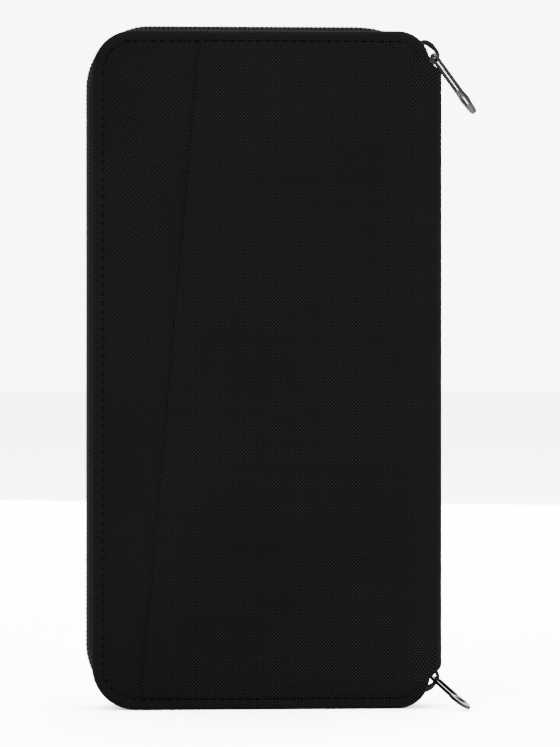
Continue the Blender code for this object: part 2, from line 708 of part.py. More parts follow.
def build_coin_slider(collection, cutters):
    """The coin zip's slider, its low bridge and the cord loop threaded through it.

    The local frame has X along the coin zip, Y down the cover and Z out of the lining.
    """
    park_x = RIGHT - POCKET_SPINE_INSET - COIN_SLIDER_PARK
    empty = bpy.data.objects.new("coin_slider_axis", None)
    empty.location = (park_x, across("front", INNER_FACE), COIN_ZIP_HEIGHT)
    empty.rotation_euler = (-pi / 2, 0.0, 0.0)
    collection.objects.link(empty)
    keel_low = CLEAR
    tape_top = COIN_ROOM + POCKET_CLOTH
    plate_low = tape_top + CLEAR + COIN_COIL_THICK + CLEAR
    outline = slider_outline(COIN_SLIDER_LENGTH, COIN_SLIDER_WIDTH)
    body = plate("coin_slider_body", outline, plate_low, plate_low + COIN_SLIDER_PLATE, collection)
    keel = plate("coin_slider_keel", outline, keel_low, keel_low + COIN_KEEL, collection)
    post = box("coin_slider_post", (COIN_POST_INSET, -COIN_SPLIT / 2, keel_low + COIN_KEEL / 2),
               (COIN_SLIDER_LENGTH / 2 - COIN_POST_INSET, COIN_SPLIT / 2, plate_low + COIN_SLIDER_PLATE / 2),
               collection)
    for piece in (body, keel, post):
        attach(piece, empty)
    boolean(body, post, 'UNION', cutters)
    boolean(body, keel, 'UNION', cutters)
    metal(body)
    strip_low = plate_low + COIN_SLIDER_PLATE + COIN_BRIDGE_ROOM
    strip_high = strip_low + COIN_BRIDGE_THICK
    arch = bridge_outline(COIN_SLIDER_LENGTH - 2 * COIN_BRIDGE_INSET,
                          plate_low + COIN_SLIDER_PLATE + CLEAR / 2,
                          strip_high, COIN_BRIDGE_THICK, COIN_BRIDGE_RADIUS)
    curve = outline_curve("coin_bridge_curve", [arch], COIN_BRIDGE_WIDTH, collection)
    curve.rotation_euler = (pi / 2, 0.0, 0.0)
    bridge = solid_from_curve("coin_slider_bridge", curve, collection)
    metal(attach(bridge, empty))
    under = strip_low - COIN_BRIDGE_ROOM / 2
    over = strip_high + CORD_RADIUS + CORD_ROOM
    turn = (over - under) / 2
    middle = (over + under) / 2
    lead = COIN_BRIDGE_WIDTH / 2
    half_loop = CORD_RADIUS + CORD_PINCH
    end = lead + CORD_DROP
    loop = [(-lead - turn * sin(radians(a)), middle + turn * cos(radians(a))) for a in range(180, -1, -30)]
    loop += [(lead + CORD_TURN, over), (lead + CORD_JOIN, middle + half_loop), (end, middle + half_loop)]
    loop += [(end, middle - half_loop), (lead + CORD_JOIN, middle - half_loop), (lead + CORD_TURN, under)]
    curve = bpy.data.curves.new("coin_pull_cord_curve", 'CURVE')
    curve.dimensions = '3D'
    curve.bevel_depth = CORD_RADIUS
    curve.bevel_resolution = 2
    spline = curve.splines.new('POLY')
    spline.points.add(len(loop) - 1)
    for point, (y, z) in zip(spline.points, loop):
        point.co = (0.0, y, z, 1.0)
    spline.use_cyclic_u = True
    cord = bpy.data.objects.new("coin_pull_cord_curve", curve)
    collection.objects.link(cord)
    cord = solid_from_curve("coin_pull_cord", cord, collection)
    bead = box("coin_pull_bead", (-CORD_BEAD, end - CORD_BEAD_ABOVE, middle - CORD_BEAD),
               (CORD_BEAD, end + CORD_BEAD_BELOW, middle + CORD_BEAD), collection)
    attach(cord, empty)
    attach(bead, empty)
    boolean(cord, bead, 'UNION', cutters)
    paint(cord, BLACK_CLOTH, 0.6)


def main():
    clear_scene()
    wallet = make_collection("passport_wallet")
    cutters = make_collection("cutters")
    for cover in ("rear", "front"):
        build_cover(cover, wallet, cutters)
    build_slash_panel(wallet)
    build_spine(wallet)
    build_zip(wallet, cutters)
    for end in ("upper", "lower"):
        build_stop(end, wallet)
        frame = build_slider(end, wallet, cutters)
        build_bridge(end, frame, wallet)
        build_pull(end, frame, wallet)
    build_pockets(wallet)
    build_coin_pocket(wallet)
    build_coin_slider(wallet, cutters)


main()
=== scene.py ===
"""Looks of a zip-round passport wallet: canvas covers, coil zip, gunmetal sliders and a lined inside."""

from math import radians

import bmesh
import bpy
import numpy as np
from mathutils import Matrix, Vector


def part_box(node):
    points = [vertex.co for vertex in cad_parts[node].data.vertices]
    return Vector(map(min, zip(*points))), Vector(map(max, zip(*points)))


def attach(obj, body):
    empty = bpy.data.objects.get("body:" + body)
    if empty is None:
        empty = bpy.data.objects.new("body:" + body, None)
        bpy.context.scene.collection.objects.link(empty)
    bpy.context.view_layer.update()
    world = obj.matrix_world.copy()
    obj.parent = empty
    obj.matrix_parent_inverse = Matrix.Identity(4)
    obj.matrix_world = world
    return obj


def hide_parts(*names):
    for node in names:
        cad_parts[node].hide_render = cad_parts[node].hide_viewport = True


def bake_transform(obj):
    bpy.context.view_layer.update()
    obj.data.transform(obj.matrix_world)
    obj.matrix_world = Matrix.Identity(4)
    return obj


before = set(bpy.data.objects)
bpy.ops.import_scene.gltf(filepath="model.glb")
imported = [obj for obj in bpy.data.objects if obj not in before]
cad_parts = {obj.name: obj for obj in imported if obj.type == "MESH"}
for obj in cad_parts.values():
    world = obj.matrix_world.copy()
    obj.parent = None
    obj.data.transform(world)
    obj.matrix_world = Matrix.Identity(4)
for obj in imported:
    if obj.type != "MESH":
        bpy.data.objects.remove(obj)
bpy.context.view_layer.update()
MM = 0.001

# Places read from the frame.
BASE_LOW, BASE_HIGH = (np.array(c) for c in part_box("front_base_panel"))
MAIN_LOW, MAIN_HIGH = (np.array(c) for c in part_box("front_slash_panel"))
REAR_LOW, REAR_HIGH = (np.array(c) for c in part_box("rear_outer_panel"))
LEFT, RIGHT, HEIGHT = BASE_LOW[0], BASE_HIGH[0], BASE_HIGH[2]
FRONT_Y, REAR_Y = MAIN_LOW[1], REAR_HIGH[1]
MID_Y = (FRONT_Y + REAR_Y) / 2
SPINE_X = MAIN_HIGH[0]
SPINE_LOW, SPINE_HIGH = (np.array(c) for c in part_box("spine_outer"))
CHAIN_LOW, CHAIN_HIGH = (np.array(c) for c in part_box("rear_zip_coil"))

# Sizes of the covers' outlines and of the zip's path, as the frame has them.
FORE_TOP_RADIUS = 15.4 * MM
FORE_BOTTOM_RADIUS = 16.0 * MM
SPINE_RADIUS = 11.7 * MM
COVER_CORNERS = [(LEFT, 0.0), (RIGHT, 0.0), (RIGHT, HEIGHT), (LEFT, HEIGHT)]
COVER_RADII = [FORE_BOTTOM_RADIUS, SPINE_RADIUS, SPINE_RADIUS, FORE_TOP_RADIUS]
COIL_HALF = 1.0 * MM
CHAIN_TOP = CHAIN_HIGH[2] - COIL_HALF
CHAIN_BOTTOM = CHAIN_LOW[2] + COIL_HALF
CHAIN_LEFT = CHAIN_LOW[0] + COIL_HALF
CHAIN_FORE_RADIUS = 22.0 * MM
CHAIN_SPINE_RADIUS = 35.0 * MM
ARC_X = 35.0 * MM
ROW_START = 37.44
ROW_CUT = 53.51
TOOTH_PITCH = 1.64 * MM
SLASH_TOP_X = MAIN_LOW[0] + 22.0 * MM
SLASH_BOTTOM_X = MAIN_LOW[0]

# Cloth and sewing.
STITCH_INSET = 4.0 * MM
STITCH_PITCH = 3.2 * MM
STITCH_LENGTH = 1.9 * MM
BASE_STEP = 0.75 * MM
RIM_STEP = 0.45 * MM
WEAVE = 0.62 * MM
BIAS = 17.0
SPINE_SLANT = 0.95


# --- surfaces ------------------------------------------------------------------------------

def make_mesh(name, verts, faces, uv=None, smooth=True):
    """A mesh object at the origin. uv holds one pair a vertex, in metres along the cloth."""
    mesh = bpy.data.meshes.new(name)
    mesh.from_pydata(np.asarray(verts).reshape(-1, 3).tolist(), [], faces)
    mesh.validate()
    if uv is not None:
        layer = mesh.uv_layers.new(name="Cloth")
        corner = np.empty(len(mesh.loops), dtype=np.int32)
        mesh.loops.foreach_get("vertex_index", corner)
        layer.data.foreach_set("uv", np.asarray(uv, dtype=np.float32)[corner].ravel())
    obj = bpy.data.objects.new(name, mesh)
    bpy.context.scene.collection.objects.link(obj)
    shape = bmesh.new()
    shape.from_mesh(mesh)
    bmesh.ops.recalc_face_normals(shape, faces=shape.faces)
    shape.to_mesh(mesh)
    shape.free()
    if smooth:
        mesh.shade_smooth()
        mesh.set_sharp_from_angle(angle=radians(42))
    return obj


def grid_faces(rows, columns, wrap_rows=False, wrap_columns=False, start=0):
    """Quads between the neighbouring points of a rows by columns grid."""
    r = np.arange(rows if wrap_rows else rows - 1)
    c = np.arange(columns if wrap_columns else columns - 1)
    r, c = np.meshgrid(r, c, indexing="ij")
    r2, c2 = (r + 1) % rows, (c + 1) % columns
    quads = np.stack([r * columns + c, r * columns + c2, r2 * columns + c2, r2 * columns + c], axis=-1)
    return (quads.reshape(-1, 4) + start).tolist()


def outline(corners, radii, inset, steps=10):
    """Points round a convex shape moved in by inset: each side shifts inwards along its normal, and
    each corner is a circle arc that touches both shifted sides."""
    corner = np.asarray(corners, dtype=float)
    ahead = np.roll(corner, -1, axis=0) - corner
    ahead /= np.linalg.norm(ahead, axis=1)[:, None]
    before = np.roll(ahead, 1, axis=0)
    inward = np.stack([-ahead[:, 1], ahead[:, 0]], axis=1)
    inward_before = np.roll(inward, 1, axis=0)
    both = (inward + inward_before) / (1 + np.sum(inward * inward_before, axis=1))[:, None]
    radius = np.maximum(np.asarray(radii) - inset, 0.05 * MM)[:, None]
    centre = corner + both * (inset + radius)
    first = np.arctan2(-inward_before[:, 1], -inward_before[:, 0])
    turn = np.arctan2(before[:, 0] * ahead[:, 1] - before[:, 1] * ahead[:, 0], np.sum(before * ahead, axis=1))
    angle = first[:, None] + turn[:, None] * np.linspace(0, 1, steps + 1)[None, :]
    round_part = np.stack([np.cos(angle), np.sin(angle)], axis=-1) * radius[:, None, :]
    return (centre[:, None, :] + round_part).reshape(-1, 2)


def filled_sides(points, spacing):
    """The same closed outline with extra points, so that no gap is longer than the spacing."""
    nxt = np.roll(points, -1, axis=0)
    length = np.linalg.norm(nxt - points, axis=1)
    count = np.maximum(np.ceil(length / spacing).astype(int), 1)
    index = np.repeat(np.arange(len(points)), count)
    share = (np.arange(len(index)) - np.repeat(np.cumsum(count) - count, count)) / count[index]
    return points[index] + (nxt - points)[index] * share[:, None]


def turned_uv(points, angle):
    """Cloth coordinates: the point's place across and up the cover, turned by the weave's angle."""
    c, s = np.cos(radians(angle)), np.sin(radians(angle))
    return np.stack([points[:, 0] * c + points[:, 1] * s, points[:, 1] * c - points[:, 0] * s], axis=1)


def slab(name, corners, radii, edge, front_fill=(), back_fill=(), weave_angle=0.0, wave=None):
    """A flat padded piece: rings of the outline at each (inset, y) of its edge, closed over both faces
    by rings that shrink to the centre, where fill gives (share of the last ring, y)."""
    insets = [row[0] for row in edge]
    rings = [outline(corners, radii, inset) for inset in insets]
    heights = [row[1] for row in edge]
    centre = rings[0].mean(axis=0)
    front = [centre + (rings[0] - centre) * share for share, _ in front_fill][::-1]
    back = [centre + (rings[-1] - centre) * share for share, _ in back_fill]
    rings = front + rings + back
    heights = [y for _, y in front_fill][::-1] + heights + [y for _, y in back_fill]
    count = len(rings[0])
    flat = np.concatenate(rings)
    y = np.repeat(heights, count)
    verts = np.stack([flat[:, 0], y, flat[:, 1]], axis=1)
    poles = np.array([[centre[0], heights[0], centre[1]], [centre[0], heights[-1], centre[1]]])
    verts = np.concatenate([verts, poles])
    if wave is not None:
        verts = wave(verts)
    faces = grid_faces(len(rings), count, wrap_columns=True)
    around = np.arange(count)
    nxt = (around + 1) % count
    last = (len(rings) - 1) * count
    faces += np.stack([around, nxt, np.full(count, len(flat))], axis=1).tolist()
    faces += np.stack([nxt + last, around + last, np.full(count, len(flat) + 1)], axis=1).tolist()
    return make_mesh(name, verts, faces, turned_uv(verts[:, [0, 2]], weave_angle))


def sheet_edge(near, far, inset=0.0, rounding=0.2 * MM):
    """The edge of a thin cloth panel between two Y levels: two quarter circles."""
    t = np.linspace(0, np.pi / 2, 4)
    step = np.sign(far - near) * rounding
    first = [(inset + rounding * (1 - np.sin(a)), near + step * (1 - np.cos(a))) for a in t]
    second = [(inset + rounding * (1 - np.cos(a)), far - step * (1 - np.sin(a))) for a in t]
    return first + second


def thickened(line, thick):
    """A closed section: a line of points and the same line moved sideways by the thickness."""
    line = np.asarray(line, dtype=float)
    along = np.gradient(line, axis=0)
    along /= np.linalg.norm(along, axis=1)[:, None]
    side = np.stack([-along[:, 1], along[:, 0]], axis=1)
    return np.concatenate([line, (line + side * thick)[::-1]])


def smooth_line(points, steps=6):
    """A Catmull-Rom curve through a short list of points, worked out for all spans at once."""
    p = np.asarray(points, dtype=float)
    p = np.concatenate([[2 * p[0] - p[1]], p, [2 * p[-1] - p[-2]]])
    a, b, c, d = p[:-3, None], p[1:-2, None], p[2:-1, None], p[3:, None]
    t = (np.arange(steps) / steps)[None, :, None]
    curve = 0.5 * (2 * b + (c - a) * t + (2 * a - 5 * b + 4 * c - d) * t ** 2
                   + (3 * b - a - 3 * c + d) * t ** 3)
    return np.concatenate([curve.reshape(-1, p.shape[1]), p[-2:-1]])


# --- the zip's path ------------------------------------------------------------------------

def arc_points(centre, radius, start, end, steps=24):
    angle = np.radians(np.linspace(start, end, steps + 1))
    return np.stack([centre[0] + radius * np.cos(angle), centre[1] + radius * np.sin(angle)], axis=1)


def chain_path(first, last):
    """Centre line of the zip from the upper arc round to the lower one: four arcs joined by straights."""
    fore, spine = CHAIN_FORE_RADIUS, CHAIN_SPINE_RADIUS
    return np.concatenate([
        arc_points((ARC_X, CHAIN_TOP - spine), spine, first, 90),
        arc_points((CHAIN_LEFT + fore, CHAIN_TOP - fore), fore, 90, 180),
        arc_points((CHAIN_LEFT + fore, CHAIN_BOTTOM + fore), fore, 180, 270),
        arc_points((ARC_X, CHAIN_BOTTOM + spine), spine, 270, 360 - last)])


def even_points(path, pitch, start=0.0):
    """Points a pitch apart along a polyline, with the unit direction at each."""
    step = np.linalg.norm(np.diff(path, axis=0), axis=1)
    reach = np.concatenate([[0], np.cumsum(step)])
    place = np.arange(start, reach[-1], pitch)
    point = np.stack([np.interp(place, reach, path[:, i]) for i in (0, 1)], axis=1)
    before = np.stack([np.interp(place - 0.3 * MM, reach, path[:, i]) for i in (0, 1)], axis=1)
    after = np.stack([np.interp(place + 0.3 * MM, reach, path[:, i]) for i in (0, 1)], axis=1)
    along = after - before
    along /= np.linalg.norm(along, axis=1)[:, None]
    return point, along


def carried(name, path, profile, side, pitch=2.0 * MM, weave_angle=0.0):
    """A closed profile of (outward, sideways) points carried along the zip's path and capped."""
    point, along = even_points(path, pitch)
    end = path[-1:]
    last = path[-1] - path[-2]
    point = np.concatenate([point, end])
    along = np.concatenate([along, (last / np.linalg.norm(last))[None]])
    outward = np.stack([along[:, 1], -along[:, 0]], axis=1)
    profile = np.asarray(profile)
    flat = point[:, None, :] + outward[:, None, :] * profile[None, :, 0:1]
    y = np.broadcast_to(MID_Y + side * profile[None, :, 1], flat.shape[:2])
    verts = np.stack([flat[..., 0], y, flat[..., 1]], axis=-1).reshape(-1, 3)
    rows, columns = flat.shape[:2]
    faces = grid_faces(rows, columns, wrap_columns=True)
    faces += [list(range(columns)), list(range((rows - 1) * columns, rows * columns))[::-1]]
    girth = np.concatenate([[0], np.cumsum(np.linalg.norm(np.diff(profile, axis=0), axis=1))])
    run = np.concatenate([[0], np.cumsum(np.linalg.norm(np.diff(point, axis=0), axis=1))])
    uv = np.stack(np.meshgrid(run, girth, indexing="ij"), axis=-1).reshape(-1, 2)
    return make_mesh(name, verts, faces, turned_uv(uv, weave_angle))


def repeated(name, unit, faces, origins, axes):
    """One small shape placed at every origin, its X, Y and Z laid along the axes given there."""
    verts = origins[:, None, :] + np.einsum("kj,mji->mki", unit, axes)
    shift = np.arange(len(origins)) * len(unit)
    quads = [f for f in faces if len(f) == 4]
    others = [f for f in faces if len(f) != 4]
    every = (np.array(quads)[None] + shift[:, None, None]).reshape(-1, 4).tolist()
    for face in others:
        every += (np.array(face)[None] + shift[:, None]).tolist()
    return make_mesh(name, verts.reshape(-1, 3), every)


def capsule(length, width, height, rings=5, sides=6):
    """A rounded bar along X: ellipses whose size follows a flat-topped bump, closed by end faces."""
    t = np.linspace(-1, 1, rings)
    size = (1 - np.abs(t) ** 3.0) ** 0.5 * 0.75 + 0.25
    angle = np.arange(sides) / sides * 2 * np.pi + np.pi / sides
    x = np.broadcast_to((t * length / 2)[:, None], (rings, sides))
    y = size[:, None] * np.cos(angle)[None] * width / 2
    z = size[:, None] * np.sin(angle)[None] * height / 2
    unit = np.stack([x, y, z], axis=-1).reshape(-1, 3)
    faces = grid_faces(rings, sides, wrap_columns=True)
    faces += [list(range(sides)), list(range((rings - 1) * sides, rings * sides))[::-1]]
    return unit, faces


# --- materials -----------------------------------------------------------------------------

class Nodes:
    """Short calls for building a node tree."""

    def __init__(self, tree):
        self.tree = tree

    def add(self, kind, **settings):
        node = self.tree.nodes.new(kind)
        for key, value in settings.items():
            setattr(node, key, value)
        return node

    def link(self, source, target):
        self.tree.links.new(source, target)

    def math(self, operation, a, b=0.5, c=None):
        node = self.add("ShaderNodeMath", operation=operation)
        for socket, value in zip(node.inputs, (a, b, c)):
            if value is None:
                continue
            if isinstance(value, (int, float)):
                socket.default_value = value
            else:
                self.link(value, socket)
        return node.outputs[0]

    def mix(self, factor, a, b):
        node = self.add("ShaderNodeMix", data_type='RGBA')
        for socket, value in zip((node.inputs[0], node.inputs[6], node.inputs[7]), (factor, a, b)):
            if isinstance(value, (int, float)):
                socket.default_value = value
            elif isinstance(value, tuple):
                socket.default_value = (*value, 1.0)
            else:
                self.link(value, socket)
        return node.outputs[2]

    def noise(self, vector, scale, detail=2.0, roughness=0.5):
        node = self.add("ShaderNodeTexNoise")
        node.inputs["Scale"].default_value = scale
        node.inputs["Detail"].default_value = detail
        node.inputs["Roughness"].default_value = roughness
        self.link(vector, node.inputs["Vector"])
        return node.outputs["Fac"]


def new_group(name, inputs, outputs):
    tree = bpy.data.node_groups.new(name, "ShaderNodeTree")
    for label, kind, default in inputs:
        socket = tree.interface.new_socket(name=label, in_out='INPUT', socket_type=kind)
        if default is not None:
            socket.default_value = default
    for label, kind in outputs:
        tree.interface.new_socket(name=label, in_out='OUTPUT', socket_type=kind)
    return tree, Nodes(tree)


def plain_weave_group():
    """Plain weave: in each cell one thread passes over the other, and neighbours alternate.

    Height is the product of half sine arches along and across the upper thread; Over is 1 where the
    lengthways thread is on top.
    """
    tree, n = new_group("plain_weave",
                        [("Vector", 'NodeSocketVector', None),
                         ("Threads per metre", 'NodeSocketFloat', 1250.0), ("Slub", 'NodeSocketFloat', 0.12)],
                        [("Height", 'NodeSocketFloat'), ("Over", 'NodeSocketFloat'),
                         ("Crown", 'NodeSocketFloat')])
    given = n.add("NodeGroupInput")
    out = n.add("NodeGroupOutput")
    wobble = n.add("ShaderNodeTexNoise")
    wobble.inputs["Scale"].default_value = 900.0
    wobble.inputs["Detail"].default_value = 1.0
    n.link(given.outputs["Vector"], wobble.inputs["Vector"])
    scaled = n.add("ShaderNodeVectorMath", operation='SCALE')
    n.link(given.outputs["Vector"], scaled.inputs[0])
    n.link(given.outputs["Threads per metre"], scaled.inputs["Scale"])
    centred = n.add("ShaderNodeVectorMath", operation='SUBTRACT')
    n.link(wobble.outputs["Color"], centred.inputs[0])
    centred.inputs[1].default_value = (0.5, 0.5, 0.5)
    shift = n.add("ShaderNodeVectorMath", operation='SCALE')
    n.link(centred.outputs[0], shift.inputs[0])
    n.link(given.outputs["Slub"], shift.inputs["Scale"])
    moved = n.add("ShaderNodeVectorMath", operation='ADD')
    n.link(scaled.outputs[0], moved.inputs[0])
    n.link(shift.outputs[0], moved.inputs[1])
    parts = n.add("ShaderNodeSeparateXYZ")
    n.link(moved.outputs[0], parts.inputs[0])
    across, along = parts.outputs[0], parts.outputs[1]
    arch_across = n.math('SINE', n.math('MULTIPLY', n.math('FRACT', across), np.pi))
    arch_along = n.math('SINE', n.math('MULTIPLY', n.math('FRACT', along), np.pi))
    cell = n.math('ADD', n.math('FLOOR', across), n.math('FLOOR', along))
    over = n.math('FRACT', n.math('MULTIPLY', cell, 0.5))
    over = n.math('GREATER_THAN', over, 0.25)
    lengthways = n.math('MULTIPLY', n.math('POWER', arch_across, 0.55),
                        n.math('MULTIPLY_ADD', arch_along, 0.6, 0.4))
    sideways = n.math('MULTIPLY', n.math('POWER', arch_along, 0.55),
                      n.math('MULTIPLY_ADD', arch_across, 0.6, 0.4))
    height = n.math('ADD', n.math('MULTIPLY', lengthways, over),
                    n.math('MULTIPLY', sideways, n.math('SUBTRACT', 1.0, over)))
    # Crown: the top of each cell, the mask for the painted highlight on the thread crowns.
    crown = n.math('POWER', n.math('MULTIPLY', arch_across, arch_along), 1.5)
    n.link(height, out.inputs["Height"])
    n.link(over, out.inputs["Over"])
    n.link(crown, out.inputs["Crown"])
    return tree


def patch_and_grain_group():
    """Slow patches and fine grain: two noises read from the object's own coordinates; the patches vary the
    strength of the painted highlight on woven cloth.
    """
    tree, n = new_group("highlight_patches_and_grain", [("Vector", 'NodeSocketVector', None)],
                        [("Patches", 'NodeSocketFloat'), ("Grain", 'NodeSocketFloat')])
    given = n.add("NodeGroupInput")
    out = n.add("NodeGroupOutput")
    n.link(n.noise(given.outputs[0], 22.0, 3.0), out.inputs[0])
    n.link(n.noise(given.outputs[0], 2600.0, 1.0), out.inputs[1])
    return tree


WEAVE_GROUP = plain_weave_group()
PATCH_AND_GRAIN_GROUP = patch_and_grain_group()


def start_material(name, roughness, metallic=0.0):
    material = bpy.data.materials.new(name)
    material.use_nodes = True
    n = Nodes(material.node_tree)
    shader = material.node_tree.nodes["Principled BSDF"]
    shader.inputs["Roughness"].default_value = roughness
    shader.inputs["Metallic"].default_value = metallic
    place = n.add("ShaderNodeTexCoord").outputs["Object"]
    return material, n, shader, place


def use_group(n, tree, **values):
    node = n.add("ShaderNodeGroup")
    node.node_tree = tree
    for label, value in values.items():
        socket = node.inputs[label.replace("_", " ")]
        if isinstance(value, (int, float)):
            socket.default_value = value
        else:
            n.link(value, socket)
    return node.outputs


def bumped(n, shader, height, distance, strength=1.0):
    bump = n.add("ShaderNodeBump")
    bump.inputs["Distance"].default_value = distance
    bump.inputs["Strength"].default_value = strength
    n.link(height, bump.inputs["Height"])
    n.link(bump.outputs[0], shader.inputs["Normal"])


def woven_material(name, threads, low, high, cross, roughness, depth, sheen=0.0, slub=0.12):
    """Woven cloth with painted light: painted shade between the threads, a painted highlight on their crowns,
    a little dimmer on the threads of one direction.
    """
    material, n, shader, place = start_material(name, roughness)
    cloth = n.add("ShaderNodeUVMap", uv_map="Cloth").outputs[0]
    weave = use_group(n, WEAVE_GROUP, Vector=cloth, Threads_per_metre=threads, Slub=slub)
    patches_and_grain = use_group(n, PATCH_AND_GRAIN_GROUP, Vector=place)
    # Painted highlight colour on the thread crowns: high where the lengthways thread is on top, the dimmer
    # cross where the sideways one is.
    thread = n.mix(weave["Over"], cross, high)
    # Where the painted highlight shows: on the crowns, stronger or weaker in slow patches; elsewhere the
    # painted shade low lies between the threads.
    crown_highlight_mask = n.math('MULTIPLY', weave["Crown"], n.math('MULTIPLY_ADD', patches_and_grain["Patches"], 0.7, 0.65))
    colour = n.mix(crown_highlight_mask, low, thread)
    n.link(colour, shader.inputs["Base Color"])
    rough = n.math('MULTIPLY_ADD', patches_and_grain["Grain"], 0.25, roughness - 0.12)
    n.link(rough, shader.inputs["Roughness"])
    height = n.math('MULTIPLY_ADD', patches_and_grain["Grain"], 0.12, weave["Height"])
    bumped(n, shader, height, depth)
    shader.inputs["Sheen Weight"].default_value = sheen
    shader.inputs["Sheen Roughness"].default_value = 0.5
    shader.inputs["Specular IOR Level"].default_value = 0.06
    return material


def metal_material(name, colour, roughness):
    """Plated metal: fine rubbed streaks and small dull spots in an otherwise clean polish."""
    material, n, shader, place = start_material(name, roughness, 1.0)
    streak = n.add("ShaderNodeMapping")
    streak.inputs["Scale"].default_value = (1.0, 9.0, 1.0)
    n.link(place, streak.inputs[0])
    rubbed = n.noise(streak.outputs[0], 260.0, 1.0, 0.4)
    spots = n.noise(place, 420.0, 2.0)
    n.link(n.mix(spots, tuple(c * 0.75 for c in colour), colour), shader.inputs["Base Color"])
    n.link(n.math('MULTIPLY_ADD', rubbed, 0.22, roughness - 0.08), shader.inputs["Roughness"])
    bumped(n, shader, rubbed, 0.00001, 0.2)
    return material


def grained_material(name, low, high, roughness, scale, depth, shine=0.3):
    """Moulded, foamed or pressed stuff with an uneven grain."""
    material, n, shader, place = start_material(name, roughness)
    grain = n.noise(place, scale, 4.0, 0.6)
    n.link(n.mix(grain, low, high), shader.inputs["Base Color"])
    n.link(n.math('MULTIPLY_ADD', grain, 0.2, roughness - 0.1), shader.inputs["Roughness"])
    shader.inputs["Specular IOR Level"].default_value = shine
    bumped(n, shader, grain, depth)
    return material


# Woven cloths: the first colour is painted shade between the threads, the second a painted highlight on
# lengthways crowns, the third a dimmer painted highlight on sideways crowns.
CANVAS = woven_material("black_canvas", 1 / WEAVE, (0.0012, 0.0012, 0.0013), (0.034, 0.034, 0.035),
                        (0.006, 0.006, 0.0064), 0.66, 0.00014)
SPINE_CANVAS = woven_material("stretched_canvas", 1 / WEAVE, (0.0018, 0.0018, 0.0019), (0.033, 0.033, 0.034),
                              (0.007, 0.007, 0.0074), 0.62, 0.00005)
LINING = woven_material("lining_twill", 2600.0, (0.010, 0.010, 0.011), (0.05, 0.05, 0.053),
                        (0.03, 0.03, 0.032), 0.5, 0.00004)
HEM = woven_material("hem_binding", 1500.0, (0.016, 0.016, 0.017), (0.07, 0.07, 0.073),
                     (0.045, 0.045, 0.047), 0.5, 0.00007)
TAPE = woven_material("zip_tape_weave", 1900.0, (0.003, 0.003, 0.0035), (0.02, 0.02, 0.021),
                      (0.01, 0.01, 0.0105), 0.6, 0.00008)
# Nearly black thread: its own black, darkened further as painted shade of the needle holes the stitches sink
# into.
THREAD_AND_PIT_SHADE = grained_material("sewing_thread", (0.0008, 0.0008, 0.0009), (0.004, 0.004, 0.0045),
                          0.7, 5000.0, 0.00004, 0.03)
# Near-black coil turns; their slight warm tint is a painted warm reflection.
NYLON = grained_material("zip_nylon", (0.003, 0.0027, 0.0025), (0.009, 0.008, 0.007),
                         0.3, 700.0, 0.00001, 0.35)
# The cord's tan colour is a painted warm reflection that shows between the coil turns.
FILLER_WARM_REFLECTION = grained_material("coil_filler_cord", (0.03, 0.022, 0.016), (0.09, 0.068, 0.05), 0.7, 3000.0, 0.00005)
GUNMETAL = metal_material("gunmetal", (0.105, 0.097, 0.092), 0.2)
DARK_METAL = metal_material("dark_gunmetal", (0.04, 0.038, 0.038), 0.26)
FOAM = grained_material("padding_foam", (0.05, 0.05, 0.05), (0.12, 0.12, 0.12), 0.9, 1800.0, 0.0002)
BOARD = grained_material("stiffener_board", (0.16, 0.14, 0.11), (0.24, 0.21, 0.17), 0.8, 600.0, 0.00005)
CORD = grained_material("braided_cord", (0.004, 0.004, 0.005), (0.04, 0.04, 0.042),
                        0.7, 3200.0, 0.00005, 0.1)


def finish_piece(obj, material, body, slot, *nodes):
    """Give a piece its material and body, and hide the frame's nodes that it stands for."""
    obj.data.materials.clear()
    obj.data.materials.append(material)
    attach(obj, body)
    if nodes:
        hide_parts(*nodes)
    return obj


# --- the covers' outside -------------------------------------------------------------------

def slash_x(z):
    """Where the slanted pocket mouth lies at a height."""
    return SLASH_BOTTOM_X + (SLASH_TOP_X - SLASH_BOTTOM_X) * z / HEIGHT


def rim_section():
    """The rolled edge seen end on, as (inset, depth): a valley at the stitching, a soft roll over the
    padding, the edge itself and the hem turned in on the lining."""
    line = smooth_line([(4.9, 0.75), (4.2, 0.42), (3.3, 0.12), (2.3, 0.0), (1.2, 0.16), (0.45, 0.75),
                        (0.08, 1.8), (0.0, 3.0), (0.06, 4.4), (0.5, 5.6), (1.4, 6.2), (3.0, 6.38),
                        (5.6, 6.34)], 3)
    return thickened(line * MM, -0.6 * MM)


def cover_y(cover, depth):
    """The Y level a depth below a cover's outer face."""
    return FRONT_Y + depth if cover == "front" else REAR_Y - depth


